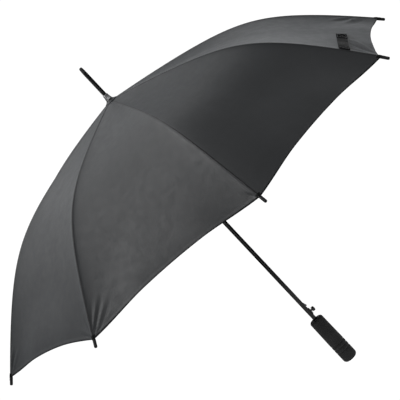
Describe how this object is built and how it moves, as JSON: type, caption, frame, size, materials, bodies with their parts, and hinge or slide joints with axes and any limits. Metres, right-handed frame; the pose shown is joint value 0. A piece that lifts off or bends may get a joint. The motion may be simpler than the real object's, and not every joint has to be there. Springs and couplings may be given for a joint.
{
  "type": "golf umbrella",
  "caption": "Straight golf umbrella with a domed fabric canopy on curved ribs, a spring-opened runner, a push button and a foam grip.",
  "frame": {"origin": "on the shaft's axis at the middle of the grip's length, where a hand holds it", "axes": "+Z along the shaft from the grip to the ferrule; +X along the first rib; the push button is 172 degrees round from +X"},
  "size_m": [1.2068, 1.2068, 0.92],
  "materials": {
    "cloth": "satin",
    "strap_webbing": "matte",
    "shaft_steel": "gloss",
    "stretcher_steel": "satin",
    "rib_rod": "satin",
    "black_plastic": "satin",
    "spring_steel": "satin",
    "tip_metal": "satin",
    "chrome": "polished",
    "grip_foam": "matte"
  },
  "bodies": {
    "root": {"shaft": "shaft_steel", "crown": "black_plastic", "crown_wire": "spring_steel", "canopy_cap": "cloth", "ferrule_collar": "chrome", "ferrule_tube": "shaft_steel", "ferrule_tip": "tip_metal", "grip_foam": "grip_foam", "grip_core": "black_plastic", "button_housing": "black_plastic", "button_ring": "chrome", "catch_spring": "spring_steel"},
    "rib_1": {"rib_1": "rib_rod", "rib_tip_1": "black_plastic"},
    "stretcher_1": {"stretcher_1": "stretcher_steel"},
    "rib_2": {"rib_2": "rib_rod", "rib_tip_2": "black_plastic"},
    "stretcher_2": {"stretcher_2": "stretcher_steel"},
    "rib_3": {"rib_3": "rib_rod", "rib_tip_3": "black_plastic"},
    "stretcher_3": {"stretcher_3": "stretcher_steel"},
    "rib_4": {"rib_4": "rib_rod", "rib_tip_4": "black_plastic"},
    "stretcher_4": {"stretcher_4": "stretcher_steel"},
    "rib_5": {"rib_5": "rib_rod", "rib_tip_5": "black_plastic"},
    "stretcher_5": {"stretcher_5": "stretcher_steel"},
    "rib_6": {"rib_6": "rib_rod", "rib_tip_6": "black_plastic"},
    "stretcher_6": {"stretcher_6": "stretcher_steel"},
    "rib_7": {"rib_7": "rib_rod", "rib_tip_7": "black_plastic"},
    "stretcher_7": {"stretcher_7": "stretcher_steel"},
    "rib_8": {"rib_8": "rib_rod", "rib_tip_8": "black_plastic"},
    "stretcher_8": {"stretcher_8": "stretcher_steel"},
    "runner": {"runner_hub": "black_plastic", "runner_wire": "spring_steel", "opening_spring": "spring_steel"},
    "runner_sleeve": {"runner_sleeve": "black_plastic"},
    "panel_1_left": {"canopy_1_left": "cloth"},
    "panel_1_right": {"canopy_1_right": "cloth"},
    "panel_2_left": {"canopy_2_left": "cloth"},
    "panel_2_right": {"canopy_2_right": "cloth"},
    "panel_3_left": {"canopy_3_left": "cloth"},
    "panel_3_right": {"canopy_3_right": "cloth"},
    "panel_4_left": {"canopy_4_left": "cloth", "closure_strap": "strap_webbing", "strap_patch": "strap_webbing"},
    "panel_4_right": {"canopy_4_right": "cloth"},
    "panel_5_left": {"canopy_5_left": "cloth"},
    "panel_5_right": {"canopy_5_right": "cloth"},
    "panel_6_left": {"canopy_6_left": "cloth"},
    "panel_6_right": {"canopy_6_right": "cloth"},
    "panel_7_left": {"canopy_7_left": "cloth"},
    "panel_7_right": {"canopy_7_right": "cloth"},
    "panel_8_left": {"canopy_8_left": "cloth"},
    "panel_8_right": {"canopy_8_right": "cloth"},
    "button": {"release_button": "black_plastic"},
    "catch": {"catch_tooth": "spring_steel"}
  },
  "joints": [
    {"name": "fold", "type": "hinge", "parent": "root", "child": "rib_1", "pos_m": [0.01, 0, 0.75148], "axis": [0, 1, 0], "range_deg": [0, 61], "stiffness_Nm_per_rad": 1.6, "springref_deg": -108.86},
    {"name": "stretcher_1_pin", "type": "hinge", "parent": "rib_1", "child": "stretcher_1", "pos_m": [0.28108, 0, 0.68868], "axis": [0, 1, 0], "range_deg": [-123, 1]},
    {"name": "rib_2_fold", "type": "hinge", "parent": "root", "child": "rib_2", "pos_m": [0.00707, 0.00707, 0.75148], "axis": [-0.7071, 0.7071, 0], "range_deg": [-0.5, 61.5]},
    {"name": "stretcher_2_pin", "type": "hinge", "parent": "rib_2", "child": "stretcher_2", "pos_m": [0.19875, 0.19875, 0.68868], "axis": [-0.7071, 0.7071, 0], "range_deg": [-123, 1]},
    {"name": "rib_3_fold", "type": "hinge", "parent": "root", "child": "rib_3", "pos_m": [0, 0.01, 0.75148], "axis": [-1, 0, 0], "range_deg": [-0.5, 61.5]},
    {"name": "stretcher_3_pin", "type": "hinge", "parent": "rib_3", "child": "stretcher_3", "pos_m": [0, 0.28108, 0.68868], "axis": [-1, 0, 0], "range_deg": [-123, 1]},
    {"name": "rib_4_fold", "type": "hinge", "parent": "root", "child": "rib_4", "pos_m": [-0.00707, 0.00707, 0.75148], "axis": [-0.7071, -0.7071, 0], "range_deg": [-0.5, 61.5]},
    {"name": "stretcher_4_pin", "type": "hinge", "parent": "rib_4", "child": "stretcher_4", "pos_m": [-0.19875, 0.19875, 0.68868], "axis": [-0.7071, -0.7071, 0], "range_deg": [-123, 1]},
    {"name": "rib_5_fold", "type": "hinge", "parent": "root", "child": "rib_5", "pos_m": [-0.01, 0, 0.75148], "axis": [0, -1, 0], "range_deg": [-0.5, 61.5]},
    {"name": "stretcher_5_pin", "type": "hinge", "parent": "rib_5", "child": "stretcher_5", "pos_m": [-0.28108, 0, 0.68868], "axis": [0, -1, 0], "range_deg": [-123, 1]},
    {"name": "rib_6_fold", "type": "hinge", "parent": "root", "child": "rib_6", "pos_m": [-0.00707, -0.00707, 0.75148], "axis": [0.7071, -0.7071, 0], "range_deg": [-0.5, 61.5]},
    {"name": "stretcher_6_pin", "type": "hinge", "parent": "rib_6", "child": "stretcher_6", "pos_m": [-0.19875, -0.19875, 0.68868], "axis": [0.7071, -0.7071, 0], "range_deg": [-123, 1]},
    {"name": "rib_7_fold", "type": "hinge", "parent": "root", "child": "rib_7", "pos_m": [0, -0.01, 0.75148], "axis": [1, 0, 0], "range_deg": [-0.5, 61.5]},
    {"name": "stretcher_7_pin", "type": "hinge", "parent": "rib_7", "child": "stretcher_7", "pos_m": [0, -0.28108, 0.68868], "axis": [1, 0, 0], "range_deg": [-123, 1]},
    {"name": "rib_8_fold", "type": "hinge", "parent": "root", "child": "rib_8", "pos_m": [0.00707, -0.00707, 0.75148], "axis": [0.7071, 0.7071, 0], "range_deg": [-0.5, 61.5]},
    {"name": "stretcher_8_pin", "type": "hinge", "parent": "rib_8", "child": "stretcher_8", "pos_m": [0.19875, -0.19875, 0.68868], "axis": [0.7071, 0.7071, 0], "range_deg": [-123, 1]},
    {"name": "runner_pin", "type": "hinge", "parent": "stretcher_1", "child": "runner", "pos_m": [0.01, 0, 0.62589], "axis": [0, 1, 0], "range_deg": [-0.5, 61.5]},
    {"name": "sleeve_slide", "type": "slide", "parent": "runner", "child": "runner_sleeve", "axis": [0, 0, 1], "range_m": [-0.0005, 0.0305], "deforming": ["opening_spring"]},
    {"name": "panel_1_left_fold", "type": "hinge", "parent": "rib_1", "child": "panel_1_left", "pos_m": [0.01, 0.00199, 0.75148], "axis": [-0.8561, -0.1133, -0.5043], "range_deg": [-0.5, 23.48], "deforming": ["canopy_1_left"]},
    {"name": "panel_1_right_fold", "type": "hinge", "parent": "rib_1", "child": "panel_1_right", "pos_m": [0.01, -0.00199, 0.75148], "axis": [0.8561, -0.1133, 0.5043], "range_deg": [-0.5, 23.48], "deforming": ["canopy_1_right"]},
    {"name": "panel_2_left_fold", "type": "hinge", "parent": "rib_2", "child": "panel_2_left", "pos_m": [0.00566, 0.00848, 0.75148], "axis": [-0.5252, -0.6855, -0.5043], "range_deg": [-0.5, 23.48], "deforming": ["canopy_2_left"]},
    {"name": "panel_2_right_fold", "type": "hinge", "parent": "rib_2", "child": "panel_2_right", "pos_m": [0.00848, 0.00566, 0.75148], "axis": [0.6855, 0.5252, 0.5043], "range_deg": [-0.5, 23.48], "deforming": ["canopy_2_right"]},
    {"name": "panel_3_left_fold", "type": "hinge", "parent": "rib_3", "child": "panel_3_left", "pos_m": [-0.00199, 0.01, 0.75148], "axis": [0.1133, -0.8561, -0.5043], "range_deg": [-0.5, 23.48], "deforming": ["canopy_3_left"]},
    {"name": "panel_3_right_fold", "type": "hinge", "parent": "rib_3", "child": "panel_3_right", "pos_m": [0.00199, 0.01, 0.75148], "axis": [0.1133, 0.8561, 0.5043], "range_deg": [-0.5, 23.48], "deforming": ["canopy_3_right"]},
    {"name": "panel_4_left_fold", "type": "hinge", "parent": "rib_4", "child": "panel_4_left", "pos_m": [-0.00848, 0.00566, 0.75148], "axis": [0.6855, -0.5252, -0.5043], "range_deg": [-0.5, 23.48], "deforming": ["canopy_4_left", "closure_strap", "strap_patch"]},
    {"name": "panel_4_right_fold", "type": "hinge", "parent": "rib_4", "child": "panel_4_right", "pos_m": [-0.00566, 0.00848, 0.75148], "axis": [-0.5252, 0.6855, 0.5043], "range_deg": [-0.5, 23.48], "deforming": ["canopy_4_right"]},
    {"name": "panel_5_left_fold", "type": "hinge", "parent": "rib_5", "child": "panel_5_left", "pos_m": [-0.01, -0.00199, 0.75148], "axis": [0.8561, 0.1133, -0.5043], "range_deg": [-0.5, 23.48], "deforming": ["canopy_5_left"]},
    {"name": "panel_5_right_fold", "type": "hinge", "parent": "rib_5", "child": "panel_5_right", "pos_m": [-0.01, 0.00199, 0.75148], "axis": [-0.8561, 0.1133, 0.5043], "range_deg": [-0.5, 23.48], "deforming": ["canopy_5_right"]},
    {"name": "panel_6_left_fold", "type": "hinge", "parent": "rib_6", "child": "panel_6_left", "pos_m": [-0.00566, -0.00848, 0.75148], "axis": [0.5252, 0.6855, -0.5043], "range_deg": [-0.5, 23.48], "deforming": ["canopy_6_left"]},
    {"name": "panel_6_right_fold", "type": "hinge", "parent": "rib_6", "child": "panel_6_right", "pos_m": [-0.00848, -0.00566, 0.75148], "axis": [-0.6855, -0.5252, 0.5043], "range_deg": [-0.5, 23.48], "deforming": ["canopy_6_right"]},
    {"name": "panel_7_left_fold", "type": "hinge", "parent": "rib_7", "child": "panel_7_left", "pos_m": [0.00199, -0.01, 0.75148], "axis": [-0.1133, 0.8561, -0.5043], "range_deg": [-0.5, 23.48], "deforming": ["canopy_7_left"]},
    {"name": "panel_7_right_fold", "type": "hinge", "parent": "rib_7", "child": "panel_7_right", "pos_m": [-0.00199, -0.01, 0.75148], "axis": [-0.1133, -0.8561, 0.5043], "range_deg": [-0.5, 23.48], "deforming": ["canopy_7_right"]},
    {"name": "panel_8_left_fold", "type": "hinge", "parent": "rib_8", "child": "panel_8_left", "pos_m": [0.00848, -0.00566, 0.75148], "axis": [-0.6855, 0.5252, -0.5043], "range_deg": [-0.5, 23.48], "deforming": ["canopy_8_left"]},
    {"name": "panel_8_right_fold", "type": "hinge", "parent": "rib_8", "child": "panel_8_right", "pos_m": [0.00566, -0.00848, 0.75148], "axis": [0.5252, -0.6855, 0.5043], "range_deg": [-0.5, 23.48], "deforming": ["canopy_8_right"]},
    {"name": "button_press", "type": "slide", "parent": "root", "child": "button", "axis": [0.9903, -0.1392, 0], "range_m": [0, 0.0016], "stiffness_N_per_m": 900, "springref_m": -0.003},
    {"name": "catch_slide", "type": "slide", "parent": "root", "child": "catch", "axis": [0.9903, -0.1392, 0], "range_m": [-0.0001, 0.0032], "deforming": ["catch_spring"]}
  ],
  "couplings": [
    {"joint": "stretcher_1_pin", "follows": "fold", "ratio": -2},
    {"joint": "rib_2_fold", "follows": "fold", "ratio": 1},
    {"joint": "stretcher_2_pin", "follows": "fold", "ratio": -2},
    {"joint": "rib_3_fold", "follows": "fold", "ratio": 1},
    {"joint": "stretcher_3_pin", "follows": "fold", "ratio": -2},
    {"joint": "rib_4_fold", "follows": "fold", "ratio": 1},
    {"joint": "stretcher_4_pin", "follows": "fold", "ratio": -2},
    {"joint": "rib_5_fold", "follows": "fold", "ratio": 1},
    {"joint": "stretcher_5_pin", "follows": "fold", "ratio": -2},
    {"joint": "rib_6_fold", "follows": "fold", "ratio": 1},
    {"joint": "stretcher_6_pin", "follows": "fold", "ratio": -2},
    {"joint": "rib_7_fold", "follows": "fold", "ratio": 1},
    {"joint": "stretcher_7_pin", "follows": "fold", "ratio": -2},
    {"joint": "rib_8_fold", "follows": "fold", "ratio": 1},
    {"joint": "stretcher_8_pin", "follows": "fold", "ratio": -2},
    {"joint": "runner_pin", "follows": "fold", "ratio": 1},
    {"joint": "sleeve_slide", "follows": "fold", "m_per_rad": 0.028178},
    {"joint": "panel_1_left_fold", "follows": "fold", "ratio": 0.3768},
    {"joint": "panel_1_right_fold", "follows": "fold", "ratio": 0.3768},
    {"joint": "panel_2_left_fold", "follows": "fold", "ratio": 0.3768},
    {"joint": "panel_2_right_fold", "follows": "fold", "ratio": 0.3768},
    {"joint": "panel_3_left_fold", "follows": "fold", "ratio": 0.3768},
    {"joint": "panel_3_right_fold", "follows": "fold", "ratio": 0.3768},
    {"joint": "panel_4_left_fold", "follows": "fold", "ratio": 0.3768},
    {"joint": "panel_4_right_fold", "follows": "fold", "ratio": 0.3768},
    {"joint": "panel_5_left_fold", "follows": "fold", "ratio": 0.3768},
    {"joint": "panel_5_right_fold", "follows": "fold", "ratio": 0.3768},
    {"joint": "panel_6_left_fold", "follows": "fold", "ratio": 0.3768},
    {"joint": "panel_6_right_fold", "follows": "fold", "ratio": 0.3768},
    {"joint": "panel_7_left_fold", "follows": "fold", "ratio": 0.3768},
    {"joint": "panel_7_right_fold", "follows": "fold", "ratio": 0.3768},
    {"joint": "panel_8_left_fold", "follows": "fold", "ratio": 0.3768},
    {"joint": "panel_8_right_fold", "follows": "fold", "ratio": 0.3768},
    {"joint": "catch_slide", "follows": "button_press", "ratio": 1.9}
  ]
}
